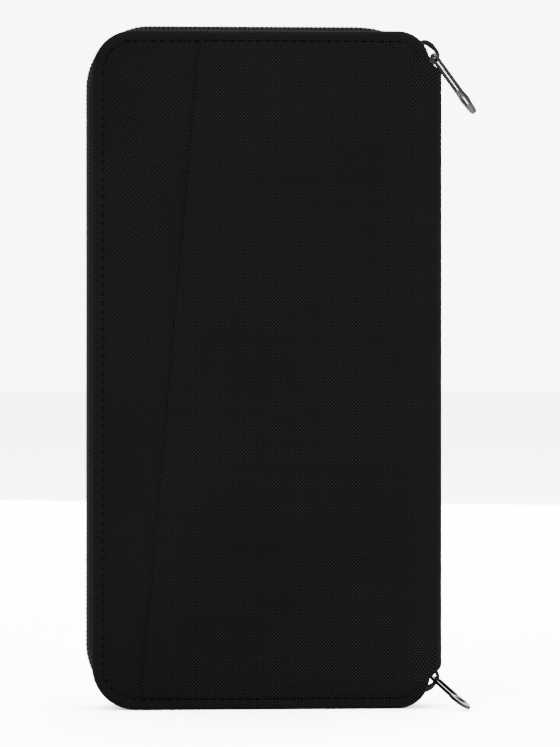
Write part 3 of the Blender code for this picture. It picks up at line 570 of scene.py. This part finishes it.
def build_rim(cover, body, node):
    """The rolled edge carried all round a cover. Left of the slanted mouth the front one lies lower."""
    section = rim_section()
    spacing = 4.0 * MM
    base = outline(COVER_CORNERS, COVER_RADII, 0.0)
    inner = outline(COVER_CORNERS, COVER_RADII, 1.0 * MM)
    spread = filled_sides(base, spacing)
    count = len(spread)
    shift = filled_pair(base, inner, spacing)
    flat = spread[None] + shift[None] * (section[:, 0] / MM)[:, None, None]
    depth = np.broadcast_to(section[:, 1][:, None], flat.shape[:2]).copy()
    if cover == "front":
        left = np.clip((slash_x(flat[..., 1]) - flat[..., 0]) / (0.25 * MM), 0, 1)
        near_face = np.clip((3.0 * MM - depth) / (3.0 * MM), 0, 1)
        depth += RIM_STEP * left * near_face
    verts = np.stack([flat[..., 0], cover_y(cover, depth), flat[..., 1]], axis=-1).reshape(-1, 3)
    faces = grid_faces(len(section), count, wrap_rows=True, wrap_columns=True)
    girth = np.concatenate([[0], np.cumsum(np.linalg.norm(np.diff(section, axis=0), axis=1))])
    unrolled = spread[None] + shift[None] * ((section[0, 0] - girth) / MM)[:, None, None]
    rim = make_mesh(cover + "_rolled_edge", verts, faces, unrolled.reshape(-1, 2))
    return finish_piece(rim, CANVAS, body, "canvas", *node)


def filled_pair(base, inner, spacing):
    """How each point of the spread-out outline moves for each millimetre of inset."""
    nxt = np.roll(base, -1, axis=0)
    count = np.maximum(np.ceil(np.linalg.norm(nxt - base, axis=1) / spacing).astype(int), 1)
    index = np.repeat(np.arange(len(base)), count)
    share = ((np.arange(len(index)) - np.repeat(np.cumsum(count) - count, count)) / count[index])[:, None]
    move = inner - base
    return move[index] * (1 - share) + np.roll(move, -1, axis=0)[index] * share


def face_edge(cover, inset, top, bottom, roll=0.5 * MM):
    """The edge of a face panel: it dips into the stitched valley and ends below it."""
    rows = [(inset + 3.0 * MM, top), (inset + 1.2 * MM, top + 0.04 * MM), (inset + roll, top + 0.16 * MM),
            (inset, top + 0.5 * MM), (inset, bottom - 0.1 * MM), (inset + 0.3 * MM, bottom)]
    return [(i, cover_y(cover, d)) for i, d in rows]


def face_fill(cover, depth, crown):
    """Rings that fill a face, rising towards the middle by the crown."""
    shares = (0.85, 0.65, 0.45, 0.25, 0.1)
    return [(s, cover_y(cover, depth - crown * (1 - s ** 2))) for s in shares]


def build_front_faces():
    """The base panel at the fore-edge, its weave on the bias, and the main panel folded over it."""
    inset = STITCH_INSET - 0.2 * MM
    low, high = inset, HEIGHT - inset
    under = 12.0 * MM
    corners = [(LEFT + inset, low), (slash_x(low) + under, low), (slash_x(high) + under, high),
               (LEFT + inset, high)]
    radii = [FORE_BOTTOM_RADIUS - inset, 0.5 * MM, 0.5 * MM, FORE_TOP_RADIUS - inset]
    base = slab("front_base_cloth", corners, radii, face_edge("front", 0.0, BASE_STEP, 1.6 * MM),
                face_fill("front", BASE_STEP, 0.1 * MM), [(0.5, cover_y("front", 1.6 * MM))], BIAS)
    finish_piece(base, CANVAS, "front_cover", "canvas", "front_base_panel")
    corners = [(slash_x(low), low), (RIGHT - inset, low), (RIGHT - inset, high), (slash_x(high), high)]
    radii = [0.4 * MM, SPINE_RADIUS - inset, SPINE_RADIUS - inset, 0.4 * MM]
    main = slab("front_main_cloth", corners, radii, face_edge("front", 0.0, 0.0, 0.62 * MM, 0.35 * MM),
                face_fill("front", 0.0, 0.25 * MM), [(0.5, cover_y("front", 0.62 * MM))])
    finish_piece(main, CANVAS, "front_cover", "canvas", "front_slash_panel")


def inset_corners(inset):
    """The cover's four corners moved in on every side."""
    return [(LEFT + inset, inset), (RIGHT - inset, inset), (RIGHT - inset, HEIGHT - inset),
            (LEFT + inset, HEIGHT - inset)]


def box_corners(low, high):
    """The four corners of a box seen from the front."""
    return [(low[0], low[2]), (high[0], low[2]), (high[0], high[2]), (low[0], high[2])]


def build_rear_face():
    """The rear cover's one plain panel, crowned like the front."""
    inset = STITCH_INSET - 0.2 * MM
    corners = inset_corners(inset)
    radii = [r - inset for r in COVER_RADII]
    face = slab("rear_main_cloth", corners, radii, face_edge("rear", 0.0, 0.0, 0.7 * MM),
                face_fill("rear", 0.0, 0.25 * MM), [(0.5, cover_y("rear", 0.7 * MM))])
    finish_piece(face, CANVAS, "rear_cover", "canvas")


def build_spine_cloth():
    """The cloth that wraps from a cover round the spine: a leaf on the face, a round turn and the web.

    Each half runs from the middle of the web to its cover, and its ends are rounded off.
    """
    turn = 2.6 * MM
    leaf_inner = RIGHT - 10.0 * MM
    slant_depth = 5.2 * MM
    for cover, sign, face_y in (("front", -1, FRONT_Y), ("rear", 1, REAR_Y)):
        reach = abs(face_y - MID_Y)
        angle = np.linspace(0, np.pi / 2, 9)
        bend = np.stack([SPINE_X - turn + turn * np.cos(angle), reach - turn + turn * np.sin(angle)], axis=1)
        web = np.stack([np.full(7, SPINE_X), np.linspace(0, reach - turn, 8)[:-1]], axis=1)
        leaf_x = np.linspace(SPINE_X - turn, leaf_inner, 12)[1:]
        drop = np.clip((RIGHT - 3.5 * MM - leaf_x) / (6.5 * MM), 0, 1)
        leaf = np.stack([leaf_x, reach - 0.32 * MM * drop ** 1.5], axis=1)
        line = np.concatenate([web, bend, leaf])
        line[:, 1] += 0.08 * MM * np.clip(line[:, 1] / (reach - turn), 0, 1)
        section = thickened(line, 0.5 * MM)
        z = np.concatenate([SPINE_LOW[2] + np.linspace(0, 1, 6) ** 2 * 2.0 * MM,
                            np.linspace(SPINE_LOW[2] + 4 * MM, SPINE_HIGH[2] - 4 * MM, 40),
                            SPINE_HIGH[2] - np.linspace(1, 0, 6) ** 2 * 2.0 * MM])
        end = np.minimum(z - SPINE_LOW[2], SPINE_HIGH[2] - z)
        pinch = 0.5 * MM * (1 - np.sqrt(1 - np.clip(1 - end / (1.2 * MM), 0, 1) ** 2))
        x = section[None, :, 0] - pinch[:, None]
        y = MID_Y + sign * section[None, :, 1] * np.ones_like(x)
        middle = (SPINE_HIGH[2] + SPINE_LOW[2]) / 2
        reach_out = np.clip(SPINE_X - section[:, 0], 0, slant_depth)[None, :] * SPINE_SLANT
        near_end = np.clip(1 - end / (12 * MM), 0, 1)[:, None]
        level = z[:, None] + np.sign(z - middle)[:, None] * near_end * reach_out
        verts = np.stack([x, y, level], axis=-1).reshape(-1, 3)
        rows, columns = x.shape
        faces = grid_faces(rows, columns, wrap_columns=True)
        faces += [list(range(columns)), list(range((rows - 1) * columns, rows * columns))[::-1]]
        half = len(line)
        girth = np.concatenate([[0], np.cumsum(np.linalg.norm(np.diff(line, axis=0), axis=1))])
        girth = np.concatenate([girth, girth[::-1]])
        across = leaf_inner + girth[half - 1] - girth
        uv = np.stack(np.meshgrid(z, across, indexing="ij")[::-1], axis=-1).reshape(-1, 2)
        piece = make_mesh("spine_cloth_" + cover, verts, faces, uv)
        piece.data.materials.append(SPINE_CANVAS)
        if cover == "front":
            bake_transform(piece)
            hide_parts("spine_outer")
        else:
            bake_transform(piece)


def build_stitches():
    """Lock stitches sunk in the valley on three sides of each cover."""
    unit, faces = capsule(STITCH_LENGTH, 0.62 * MM, 0.4 * MM)
    loop = filled_sides(outline(COVER_CORNERS, COVER_RADII, STITCH_INSET, 16), 2.0 * MM)
    start = np.argmin(np.hypot(loop[:, 0] - (RIGHT - STITCH_INSET), loop[:, 1] - HEIGHT * 0.5))
    loop = np.roll(loop, -start, axis=0)
    for cover, body, out in (("front", "front_cover", -1.0), ("rear", "rear_cover", 1.0)):
        point, along = even_points(loop, STITCH_PITCH)
        keep = point[:, 0] < RIGHT - 8.6 * MM
        point, along = point[keep], along[keep]
        depth = np.full(len(point), 0.2 * MM)
        if cover == "front":
            depth += (RIM_STEP + 0.1 * MM) * (point[:, 0] < slash_x(point[:, 1]))
        origins = np.stack([point[:, 0], cover_y(cover, depth), point[:, 1]], axis=1)
        ahead = np.stack([along[:, 0], np.zeros(len(along)), along[:, 1]], axis=1)
        outward = np.tile([0.0, out, 0.0], (len(along), 1))
        tilt = ahead + np.cross(outward, ahead) * 0.10
        tilt /= np.linalg.norm(tilt, axis=1)[:, None]
        axes = np.stack([tilt, np.cross(outward, tilt), outward], axis=1)
        stitches = repeated(cover + "_topstitching", unit, faces, origins, axes)
        finish_piece(stitches, THREAD_AND_PIT_SHADE, body, "canvas")


# --- the zip -------------------------------------------------------------------------------

def tooth():
    """One turn of the coil: a bar across the row with a swollen head that meets the other row."""
    rings, sides = 8, 8
    t = np.linspace(0, 1, rings)
    v = (-0.35 + 3.5 * t) * MM
    size = np.interp(t, [0, 0.08, 0.2, 0.35, 0.75, 0.93, 1], [0.35, 0.9, 1.0, 0.72, 0.85, 1.0, 0.75])
    angle = np.arange(sides) / sides * 2 * np.pi
    a = size[:, None] * np.cos(angle)[None] * 0.46 * MM
    u = size[:, None] * np.sin(angle)[None] * 1.1 * MM + 0.15 * MM
    unit = np.stack([a, u, np.broadcast_to(v[:, None], a.shape)], axis=-1).reshape(-1, 3)
    faces = grid_faces(rings, sides, wrap_columns=True)
    faces += [list(range(sides)), list(range((rings - 1) * sides, rings * sides))[::-1]]
    return unit, faces


def coil_row(name, path, side, shift, body, node):
    """A row of coil turns, half a pitch apart from the other row's."""
    unit, faces = tooth()
    point, along = even_points(path, TOOTH_PITCH, shift)
    origins = np.stack([point[:, 0], np.full(len(point), MID_Y), point[:, 1]], axis=1)
    ahead = np.stack([along[:, 0], np.zeros(len(along)), along[:, 1]], axis=1)
    outward = np.stack([along[:, 1], np.zeros(len(along)), -along[:, 0]], axis=1)
    sideways = np.tile([0.0, float(side), 0.0], (len(along), 1))
    axes = np.stack([ahead, outward, sideways], axis=1)
    row = repeated(name, unit, faces, origins, axes)
    return finish_piece(row, NYLON, body, "coil", node)


def tape_section():
    """The tape seen end on: a woven edge under the coil, a soft bend, and the part sewn to the lining."""
    line = smooth_line([(-1.05, 0.5), (-1.0, 2.6), (-0.72, 3.2), (-0.7, 3.7), (-1.1, 4.6), (-1.9, 5.15),
                        (-3.5, 5.2), (-9.3, 5.2)], 3)
    return thickened(line * MM, 0.42 * MM)


def cord_section():
    """The filler cord along the back of the coil, with the sewing that holds it."""
    angle = np.arange(8) / 8 * 2 * np.pi
    return np.stack([-0.1 + 1.0 * np.sin(angle), 2.35 + 0.45 * np.cos(angle)], axis=1) * MM


def build_zip():
    path = chain_path(ROW_CUT, ROW_CUT)
    for cover, side, shift in (("rear", 1, 0.0), ("front", -1, TOOTH_PITCH / 2)):
        coil_row(cover + "_coil_turns", path, side, shift, cover + "_cover", cover + "_zip_coil")
        tape = carried(cover + "_woven_tape", path, tape_section(), side)
        finish_piece(tape, TAPE, cover + "_cover", "zip_tape", cover + "_zip_tape")
        section = np.asarray(tape_section())
        cord = carried(cover + "_coil_cord", path, cord_section(), side)
        finish_piece(cord, FILLER_WARM_REFLECTION, cover + "_cover", "coil")
    for end, centre, sign in (("upper", CHAIN_TOP - CHAIN_SPINE_RADIUS, 1),
                              ("lower", CHAIN_BOTTOM + CHAIN_SPINE_RADIUS, -1)):
        angles = (ROW_START, ROW_CUT - 0.6) if sign > 0 else (-ROW_CUT + 0.6, -ROW_START)
        path = arc_points((ARC_X, centre), CHAIN_SPINE_RADIUS, *angles)
        for cover, side, shift in (("rear", 1, 0.0), ("front", -1, TOOTH_PITCH / 2)):
            node = cover + "_row_end_" + end
            coil_row(node + "_turns", path, side, shift, "spine", node)


# --- metal ---------------------------------------------------------------------------------

def rounded_copy(node, name, material, body, slot, width, segments=3):
    """The frame's solid with its edges rolled off."""
    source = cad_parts[node]
    mesh = source.data.copy()
    shape = bmesh.new()
    shape.from_mesh(mesh)
    bmesh.ops.remove_doubles(shape, verts=shape.verts, dist=0.000002)
    bmesh.ops.dissolve_limit(shape, angle_limit=radians(3), verts=shape.verts, edges=shape.edges)
    shape.to_mesh(mesh)
    shape.free()
    obj = bpy.data.objects.new(name, mesh)
    bpy.context.scene.collection.objects.link(obj)
    bevel = obj.modifiers.new("Rolled edges", 'BEVEL')
    bevel.width = width
    bevel.segments = segments
    bevel.limit_method = 'ANGLE'
    bevel.angle_limit = radians(35)
    bevel.harden_normals = False
    mesh.shade_smooth()
    mesh.set_sharp_from_angle(angle=radians(50))
    return finish_piece(obj, material, body, slot, node)


def build_arch(end):
    """The slider's arch: a strap whose middle line is a flat-topped half oval over the outer plate.

    At share t of the half turn it lies at (a cos t, b sin^0.7 t), and it thins towards the pull's eye.
    """
    sign = 1 if end == "upper" else -1
    level = CHAIN_TOP - CHAIN_SPINE_RADIUS if sign > 0 else CHAIN_BOTTOM + CHAIN_SPINE_RADIUS
    centre = np.array([ARC_X, MID_Y, level])
    outward = np.array([1, 0, sign]) / np.sqrt(2)
    ahead = np.array([-1, 0, sign]) / np.sqrt(2)
    t = np.linspace(0.0, np.pi, 33)
    along = 4.15 * MM * np.sign(np.cos(t)) * np.abs(np.cos(t)) ** 0.8
    lift = 2.35 * MM + 3.35 * MM * np.sin(t) ** 0.62
    line = np.stack([along, lift], axis=1)
    way = np.gradient(line, axis=0)
    way /= np.linalg.norm(way, axis=1)[:, None]
    side = np.stack([-way[:, 1], way[:, 0]], axis=1)
    thick = np.interp(along, [-4.2 * MM, -1.0 * MM, 0.8 * MM, 4.2 * MM],
                      [1.45 * MM, 1.5 * MM, 2.1 * MM, 1.9 * MM])
    angle = np.arange(16) / 16 * 2 * np.pi
    bulge_u = np.sign(np.cos(angle)) * np.abs(np.cos(angle)) ** 0.6 / 2
    bulge_y = np.sign(np.sin(angle)) * np.abs(np.sin(angle)) ** 0.6 * 1.5 * MM / 2
    flat = line[:, None, :] - side[:, None, :] * (bulge_u[None, :, None] * thick[:, None, None])
    verts = (centre + outward * (CHAIN_SPINE_RADIUS + flat[..., 1:2]) + ahead * flat[..., 0:1]
             + np.array([0.0, 1.0, 0.0]) * bulge_y[None, :, None])
    rows, columns = flat.shape[:2]
    faces = grid_faces(rows, columns, wrap_columns=True)
    faces += [list(range(columns)), list(range((rows - 1) * columns, rows * columns))[::-1]]
    arch = make_mesh(end + "_slider_arch", verts.reshape(-1, 3), faces)
    finish_piece(arch, DARK_METAL, end + "_slider", "gunmetal", end + "_slider_bridge")


def build_metal():
    for end in ("upper", "lower"):
        rounded_copy(end + "_slider_body", end + "_slider_shell", DARK_METAL, end + "_slider", "gunmetal",
                     0.18 * MM)
        build_arch(end)
        rounded_copy(end + "_pull", end + "_pull_tab", GUNMETAL, end + "_pull", "gunmetal", 0.22 * MM)
        rounded_copy("zip_stop_" + end, end + "_end_clip", DARK_METAL, "spine", "gunmetal", 0.2 * MM)
    rounded_copy("coin_slider_body", "coin_slider_shell", DARK_METAL, "coin_slider", "gunmetal", 0.1 * MM)
    rounded_copy("coin_slider_bridge", "coin_slider_arch", DARK_METAL, "coin_slider", "gunmetal",
                 0.08 * MM, 2)
    rounded_copy("coin_pull_cord", "coin_cord_loop", CORD, "coin_slider", "cord", 0.1 * MM, 2)


# --- inside --------------------------------------------------------------------------------


def build_inside():
    """Linings and pockets: each pocket is a hemmed cloth panel in the place of its flat solid."""
    for cover, node in (("rear", "rear_lining"), ("front", "front_lining")):
        low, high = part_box(node)
        inset = 1.2 * MM
        near, far = (high[1], low[1]) if cover == "rear" else (low[1], high[1])
        corners = inset_corners(inset)
        lining = slab(cover + "_lining_cloth", corners, [r - inset for r in COVER_RADII],
                      sheet_edge(near, far), [(0.5, near)], [(0.7, far), (0.3, far)])
        finish_piece(lining, LINING, cover + "_cover", "lining", node)
    panels = [("document_pocket", "rear_cover", 14.0), ("passport_sleeve_lower", "rear_cover", 14.0),
              ("passport_sleeve_upper", "rear_cover", 0.4), ("card_slot_1", "front_cover", 0.4),
              ("card_slot_2", "front_cover", 0.4), ("card_slot_3", "front_cover", 0.4),
              ("card_slot_4", "front_cover", 0.4), ("coin_pocket_panel", "front_cover", 14.0),
              ("coin_pocket_header", "front_cover", 0.4)]
    for node, body, corner in panels:
        low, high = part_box(node)
        corners = box_corners(low, high)
        near, far = (high[1], low[1]) if body == "rear_cover" else (low[1], high[1])
        radii = [corner, corner, 0.4, 0.4]
        piece = slab(node + "_cloth", corners, np.array(radii) * MM, sheet_edge(near, far),
                     [(0.5, near)], [(0.8, far), (0.4, far)])
        finish_piece(piece, LINING, body, "lining", node)
        hem = build_hem(node, body, low, high, far)


def build_hem(node, body, low, high, face_y):
    """A folded hem along a pocket's top edge with a row of stitches under it."""
    out = -1.0 if body == "rear_cover" else 1.0
    hem = 5.0 * MM
    corners = [(low[0] + 0.2 * MM, high[2] - hem), (high[0] - 0.2 * MM, high[2] - hem),
               (high[0] - 0.2 * MM, high[2] + 0.1 * MM), (low[0] + 0.2 * MM, high[2] + 0.1 * MM)]
    near, far = face_y - out * 0.1 * MM, face_y + out * 0.12 * MM
    fold = slab(node + "_hem", corners, [0.4 * MM] * 4, sheet_edge(near, far, 0.0, 0.1 * MM),
                [(0.5, near)], [(0.5, far)], 45.0)
    finish_piece(fold, HEM, body, "lining")
    unit, faces = capsule(1.8 * MM, 0.3 * MM, 0.2 * MM)
    place = np.arange(low[0] + 2.0 * MM, high[0] - 2.0 * MM, 2.6 * MM)
    level = np.full(len(place), high[2] - hem + 1.0 * MM)
    origins = np.stack([place, np.full(len(place), far), level], axis=1)
    axes = np.tile(np.array([[1.0, 0, 0], [0, 0, -out], [0, out, 0]]), (len(place), 1, 1))
    stitches = finish_piece(repeated(node + "_stitches", unit, faces, origins, axes), THREAD_AND_PIT_SHADE, body, "lining")
    return [fold, stitches]


def build_coin_zip():
    """The coin pocket's zip: tapes with a woven rib and two rows of small coil turns."""
    for half, sign in (("upper", 1), ("lower", -1)):
        node = "coin_zip_tape_" + half
        low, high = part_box(node)
        corners = box_corners(low, high)
        tape = slab(node + "_cloth", corners, [0.3 * MM] * 4, sheet_edge(low[1], high[1]),
                    [(0.5, low[1])], [(0.5, high[1])], 45.0)
        finish_piece(tape, TAPE, "front_cover", "zip_tape", node)
        node = "coin_zip_coil_" + half
        low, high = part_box(node)
        unit, faces = capsule(high[2] - low[2] + 0.9 * MM, 0.62 * MM, high[1] - low[1], 6, 6)
        place = np.arange(low[0], high[0], 1.1 * MM) + (0.55 * MM if sign > 0 else 0.0)
        level = np.full(len(place), (low[1] + high[1]) / 2)
        row = np.full(len(place), (low[2] + high[2]) / 2 - sign * 0.4 * MM)
        origins = np.stack([place, level, row], axis=1)
        axes = np.tile(np.array([[0, 0, 1.0], [1.0, 0, 0], [0, 1.0, 0]]), (len(place), 1, 1))
        turns = repeated("coin_turns_" + half, unit, faces, origins, axes)
        finish_piece(turns, NYLON, "front_cover", "coil", node)


def build_spine_inside():
    """The spine's lining: a strip bowed by half a sine across its width."""
    low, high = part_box("spine_lining")
    y = np.linspace(low[1], high[1], 9)
    z = np.linspace(low[2], high[2], 30)
    bow = 0.25 * MM * np.sin(np.pi * (y - low[1]) / (high[1] - low[1]))
    line = np.stack([low[0] + bow, y], axis=1)
    section = thickened(line, -(high[0] - low[0]))
    x = np.broadcast_to(section[None, :, 0], (len(z), len(section)))
    yy = np.broadcast_to(section[None, :, 1], x.shape)
    verts = np.stack([x, yy, np.broadcast_to(z[:, None], x.shape)], axis=-1).reshape(-1, 3)
    rows, columns = x.shape
    faces = grid_faces(rows, columns, wrap_columns=True)
    faces += [list(range(columns)), list(range((rows - 1) * columns, rows * columns))[::-1]]
    piece = make_mesh("spine_lining_cloth", verts, faces, verts[:, [1, 2]])
    finish_piece(piece, LINING, "spine", "lining", "spine_lining")


def build_foam():
    """The padding under each cover's cloth: rounded at its edge and a little fuller in the middle."""
    for cover in ("rear", "front"):
        node = cover + "_foam"
        low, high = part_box(node)
        inset = low[0] - LEFT
        corners = box_corners(low, high)
        radii = [max(r - inset, 1.0 * MM) for r in COVER_RADII]
        near, far = low[1], high[1]
        roll = (far - near) * 0.45
        crown = 0.12 * MM
        pad = slab(node + "_pad", corners, radii, sheet_edge(near + crown, far - crown, 0.0, roll),
                   [(0.6, near + crown * 0.4), (0.2, near)], [(0.6, far - crown * 0.4), (0.2, far)])
        finish_piece(pad, FOAM, cover + "_cover", "foam", node)


def dress_hidden_nodes():
    """The stiffener boards stay as the frame has them, with their own grain."""
    for node, material in (("rear_board", BOARD), ("front_board", BOARD), ("spine_board", BOARD)):
        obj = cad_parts[node]
        obj.data.materials.clear()
        obj.data.materials.append(material)


# --- surroundings --------------------------------------------------------------------------

def build_stage():
    """A pale floor that runs far back, a bright sky and three soft lamps."""
    size = 6.0
    corners = [(-size, -size, 0), (size, -size, 0), (size, size, 0), (-size, size, 0)]
    floor = make_mesh("floor", corners, [[0, 1, 2, 3]])
    material, n, shader, place = start_material("white_floor", 0.6)
    tone = n.noise(place, 3.0, 2.0)
    paper = n.mix(tone, (0.88, 0.88, 0.885), (0.91, 0.91, 0.91))
    bright = n.add("ShaderNodeVectorMath", operation='SCALE')
    n.link(paper, bright.inputs[0])
    bright.inputs["Scale"].default_value = 9.0
    seen = n.add("ShaderNodeLightPath").outputs["Is Camera Ray"]
    n.link(n.mix(seen, paper, bright.outputs[0]), shader.inputs["Base Color"])
    shader.inputs["Specular IOR Level"].default_value = 0.0
    floor.data.materials.append(material)
    world = bpy.data.worlds.new("studio")
    bpy.context.scene.world = world
    world.use_nodes = True
    n = Nodes(world.node_tree)
    sky = world.node_tree.nodes["Background"]
    up = n.add("ShaderNodeSeparateXYZ")
    n.link(n.add("ShaderNodeTexCoord").outputs["Generated"], up.inputs[0])
    height = n.math('MULTIPLY_ADD', up.outputs["Z"], 0.55, 0.45)
    seen = n.add("ShaderNodeLightPath").outputs["Is Camera Ray"]
    strength = n.math('MULTIPLY_ADD', seen, 8.0, height)
    n.link(strength, sky.inputs[1])
    sky.inputs[0].default_value = (1.0, 1.0, 1.0, 1.0)
    for name, place, aim, size, power in (("key", (-0.9, -1.0, 1.1), (0, 0, 0.12), 1.2, 14.0),
                                          ("side", (1.3, -0.5, 0.5), (0, 0, 0.12), 1.0, 9.0),
                                          ("back", (0.3, 1.3, 0.6), (0, 0, 0.12), 1.2, 12.0),
                                          ("top", (0.1, 0.1, 1.4), (0, 0, 0.1), 1.1, 9.0)):
        lamp = bpy.data.lights.new(name, 'AREA')
        lamp.size = size
        lamp.energy = power
        holder = bpy.data.objects.new(name, lamp)
        holder.location = place
        holder.rotation_euler = (Vector(aim) - Vector(place)).to_track_quat('-Z', 'Y').to_euler()
        bpy.context.scene.collection.objects.link(holder)


def build_camera():
    """A long lens a little left of the middle of the wallet, level, at half its height."""
    target = Vector((6.7 * MM, FRONT_Y, 122.4 * MM))
    distance = 1.4
    yaw = radians(3.5)
    rise = 0.02
    width_seen = 0.2718
    camera = bpy.data.cameras.new("camera")
    camera.sensor_fit = 'VERTICAL'
    camera.sensor_height = 36.0
    camera.lens = 36.0 * distance / width_seen
    camera.shift_y = -rise / width_seen
    camera.clip_start = 0.05
    camera.clip_end = 50.0
    holder = bpy.data.objects.new("camera", camera)
    level = Vector((np.sin(yaw), np.cos(yaw), 0.0))
    holder.location = target - level * distance + Vector((0.0, 0.0, rise))
    holder.rotation_euler = level.to_track_quat('-Z', 'Y').to_euler()
    bpy.context.scene.collection.objects.link(holder)
    bpy.context.scene.camera = holder


build_camera()
build_rim("front", "front_cover", ())
build_rim("rear", "rear_cover", ("rear_outer_panel",))
build_front_faces()
build_rear_face()
build_spine_cloth()
build_stitches()
build_zip()
build_metal()
build_inside()
build_coin_zip()
build_spine_inside()
build_foam()
dress_hidden_nodes()
build_stage()
